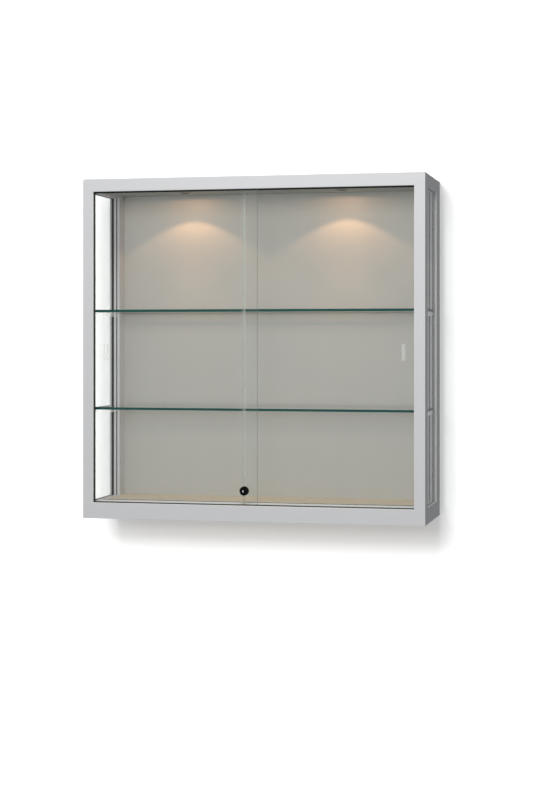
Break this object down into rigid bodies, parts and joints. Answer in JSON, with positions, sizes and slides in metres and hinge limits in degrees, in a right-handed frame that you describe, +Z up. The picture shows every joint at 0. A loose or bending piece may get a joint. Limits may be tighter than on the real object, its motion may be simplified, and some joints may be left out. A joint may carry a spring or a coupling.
{
  "type": "wall display case",
  "caption": "Wide, shallow wall-hung glass showcase in a satin aluminium frame, with sliding glass doors, a push lock, height-adjustable glass shelves and ceiling spotlights.",
  "frame": {"origin": "on the underside of the case, in the middle of its width and depth", "axes": "+X to the right as seen by a visitor, +Y back towards the wall, +Z up; the doors face -Y"},
  "size_m": [1, 0.32, 0.985],
  "materials": {
    "satin_aluminium": "satin silver anodised",
    "sheet_metal": "light-grey powder coat",
    "laminate": "light-grey melamine face",
    "clear_glass": "polished float glass",
    "black_rubber": "matt",
    "clear_plastic": "clear, slightly cloudy",
    "support_plastic": "water clear, slightly milky",
    "grey_plastic": "mid grey",
    "white_plastic": "white",
    "black_lock": "black, semi-gloss",
    "nickel": "bright nickel plate",
    "steel_screws": "zinc plated",
    "cast_zinc": "raw die casting",
    "lamp_metal": "satin",
    "lamp_lens": "frosted, lit warm white",
    "lead_sheath": "white flexible sheath"
  },
  "bodies": {
    "case": {"top_front_rail": "satin_aluminium", "top_rear_rail": "satin_aluminium", "top_left_rail": "satin_aluminium", "top_right_rail": "satin_aluminium", "bottom_front_rail": "satin_aluminium", "bottom_rear_rail": "satin_aluminium", "bottom_left_rail": "satin_aluminium", "bottom_right_rail": "satin_aluminium", "front_left_post": "satin_aluminium", "front_right_post": "satin_aluminium", "rear_left_post": "satin_aluminium", "rear_right_post": "satin_aluminium", "upper_door_track": "satin_aluminium", "lower_door_track": "satin_aluminium", "wall_bar": "satin_aluminium", "roof_panel": "sheet_metal", "ceiling_panel": "sheet_metal", "floor_panel": "laminate", "back_panel": "laminate", "left_side_glass": "clear_glass", "right_side_glass": "clear_glass", "left_glazing_gasket": "black_rubber", "right_glazing_gasket": "black_rubber", "door_bumpers": "black_rubber", "supply_grommet": "black_rubber", "lamp_driver": "white_plastic", "frame_screws": "steel_screws", "roof_screws": "steel_screws", "ceiling_screws": "steel_screws", "lamp_clips": "steel_screws", "top_corner_cleats": "cast_zinc", "bottom_corner_cleats": "cast_zinc", "left_lamp_bezel": "lamp_metal", "right_lamp_bezel": "lamp_metal", "left_lamp_housing": "lamp_metal", "right_lamp_housing": "lamp_metal", "left_lamp_lens": "lamp_lens", "right_lamp_lens": "lamp_lens", "left_lamp_lead": "lead_sheath", "right_lamp_lead": "lead_sheath"},
    "outer_door": {"outer_door_glass": "clear_glass", "outer_door_glides": "grey_plastic", "lock_body": "black_lock", "lock_washer": "black_lock", "lock_nut": "nickel"},
    "inner_door": {"inner_door_glass": "clear_glass", "inner_door_glides": "grey_plastic", "door_seal_strip": "clear_plastic"},
    "lock_plunger": {"lock_plunger": "black_lock", "lock_spring": "steel_screws"},
    "lock_core": {"lock_core": "nickel"},
    "upper_shelf": {"upper_shelf_glass": "clear_glass", "upper_shelf_brackets": "support_plastic", "upper_shelf_clips": "support_plastic"},
    "lower_shelf": {"lower_shelf_glass": "clear_glass", "lower_shelf_brackets": "support_plastic", "lower_shelf_clips": "support_plastic"}
  },
  "joints": [
    {"name": "outer_door_slide", "type": "slide", "parent": "case", "child": "outer_door", "axis": [1, 0, 0], "range_m": [0, 0.467]},
    {"name": "inner_door_slide", "type": "slide", "parent": "case", "child": "inner_door", "axis": [1, 0, 0], "range_m": [-0.45, 0]},
    {"name": "lock_press", "type": "slide", "parent": "outer_door", "child": "lock_plunger", "axis": [0, 1, 0], "range_m": [0, 0.005], "stiffness_N_per_m": 400, "springref_m": -0.002, "deforming": ["lock_spring"]},
    {"name": "lock_turn", "type": "hinge", "parent": "lock_plunger", "child": "lock_core", "pos_m": [-0.023, -0.14, 0.086], "axis": [0, 1, 0], "range_deg": [0, 90]},
    {"name": "upper_shelf_height", "type": "slide", "parent": "case", "child": "upper_shelf", "axis": [0, 0, 1], "range_m": [-0.1, 0.2]},
    {"name": "lower_shelf_height", "type": "slide", "parent": "case", "child": "lower_shelf", "axis": [0, 0, 1], "range_m": [-0.15, 0.1]}
  ]
}
